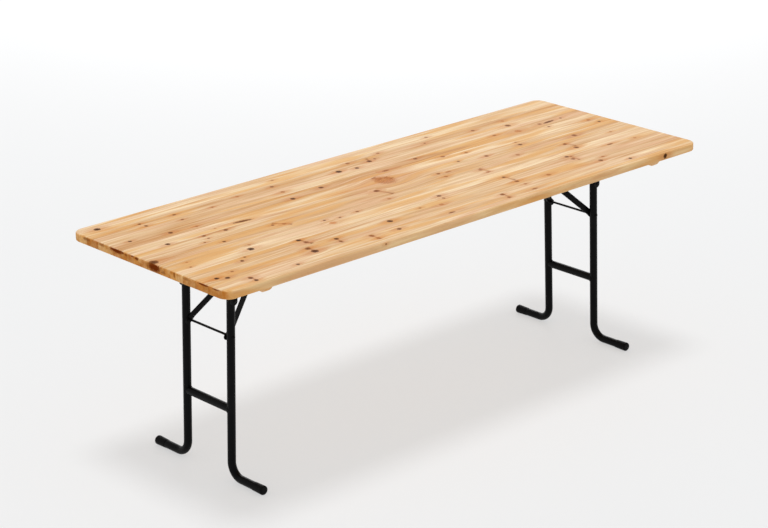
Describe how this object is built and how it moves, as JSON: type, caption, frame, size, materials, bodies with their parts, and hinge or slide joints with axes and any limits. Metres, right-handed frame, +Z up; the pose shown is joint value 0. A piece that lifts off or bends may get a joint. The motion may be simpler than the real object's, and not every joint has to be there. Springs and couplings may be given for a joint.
{
  "type": "folding table",
  "caption": "Long wooden folding table on hinged black tubular leg frames, each held open by a V-shaped brace that drops into a sprung catch under the board.",
  "frame": {"origin": "on the floor below the middle of the board", "axes": "+X along the length of the board, +Y across it, +Z up"},
  "size_m": [2.2, 0.8, 0.79],
  "materials": {
    "board_pine": "satin clear varnish over knotty pine",
    "batten_pine": "satin clear varnish over knotty pine",
    "black_coat": "satin black powder coat",
    "black_plastic": "fine-grained black plastic",
    "zinc": "bright zinc plate"
  },
  "bodies": {
    "table_top": {"tabletop": "board_pine", "batten_left": "batten_pine", "batten_right": "batten_pine", "batten_screws": "zinc", "hinge_bracket_left_front": "black_coat", "hinge_bracket_left_back": "black_coat", "hinge_bracket_right_front": "black_coat", "hinge_bracket_right_back": "black_coat", "hinge_bolt_left_front": "zinc", "hinge_bolt_left_back": "zinc", "hinge_bolt_right_front": "zinc", "hinge_bolt_right_back": "zinc", "hinge_nuts_left": "zinc", "hinge_nuts_right": "zinc", "hinge_screws_left": "zinc", "hinge_screws_right": "zinc", "catch_bracket_left": "black_coat", "catch_bracket_right": "black_coat", "catch_screws_left": "zinc", "catch_screws_right": "zinc", "latch_pin_left": "zinc", "latch_pin_right": "zinc"},
    "leg_frame_left": {"leg_tube_left_front": "black_coat", "leg_tube_left_back": "black_coat", "cross_tube_left": "black_coat", "hinge_strap_left_front": "black_coat", "hinge_strap_left_back": "black_coat", "strap_rivets_left": "black_coat", "top_plug_left_front": "black_plastic", "top_plug_left_back": "black_plastic", "foot_cap_left_front": "black_plastic", "foot_cap_left_back": "black_plastic", "brace_rod_left": "black_coat", "brace_washers_left": "black_coat"},
    "brace_left": {"brace_strip_left_front": "black_coat", "brace_strip_left_back": "black_coat", "apex_pin_left": "zinc"},
    "latch_left": {"latch_lever_left": "black_coat", "latch_spring_left": "zinc"},
    "leg_frame_right": {"leg_tube_right_front": "black_coat", "leg_tube_right_back": "black_coat", "cross_tube_right": "black_coat", "hinge_strap_right_front": "black_coat", "hinge_strap_right_back": "black_coat", "strap_rivets_right": "black_coat", "top_plug_right_front": "black_plastic", "top_plug_right_back": "black_plastic", "foot_cap_right_front": "black_plastic", "foot_cap_right_back": "black_plastic", "brace_rod_right": "black_coat", "brace_washers_right": "black_coat"},
    "brace_right": {"brace_strip_right_front": "black_coat", "brace_strip_right_back": "black_coat", "apex_pin_right": "zinc"},
    "latch_right": {"latch_lever_right": "black_coat", "latch_spring_right": "zinc"}
  },
  "joints": [
    {"name": "fold_left", "type": "hinge", "parent": "table_top", "child": "leg_frame_left", "pos_m": [-0.854, 0, 0.71], "axis": [0, -1, 0], "range_deg": [0, 92]},
    {"name": "brace_turn_left", "type": "hinge", "parent": "leg_frame_left", "child": "brace_left", "pos_m": [-0.86133, 0, 0.50013], "axis": [0, -1, 0], "range_deg": [-129.56, 0]},
    {"name": "latch_turn_left", "type": "hinge", "parent": "table_top", "child": "latch_left", "pos_m": [-0.58048, 0, 0.751], "axis": [0, 1, 0], "range_deg": [0, 9], "stiffness_Nm_per_rad": 0.1, "springref_deg": -11.46},
    {"name": "fold_right", "type": "hinge", "parent": "table_top", "child": "leg_frame_right", "pos_m": [0.854, 0, 0.71], "axis": [0, 1, 0], "range_deg": [0, 92]},
    {"name": "brace_turn_right", "type": "hinge", "parent": "leg_frame_right", "child": "brace_right", "pos_m": [0.86133, 0, 0.50013], "axis": [0, 1, 0], "range_deg": [-129.56, 0]},
    {"name": "latch_turn_right", "type": "hinge", "parent": "table_top", "child": "latch_right", "pos_m": [0.58048, 0, 0.751], "axis": [0, -1, 0], "range_deg": [0, 9], "stiffness_Nm_per_rad": 0.1, "springref_deg": -11.46}
  ],
  "couplings": [
    {"joint": "brace_turn_left", "follows": "fold_left", "ratio": -1.4082},
    {"joint": "brace_turn_right", "follows": "fold_right", "ratio": -1.4082}
  ]
}
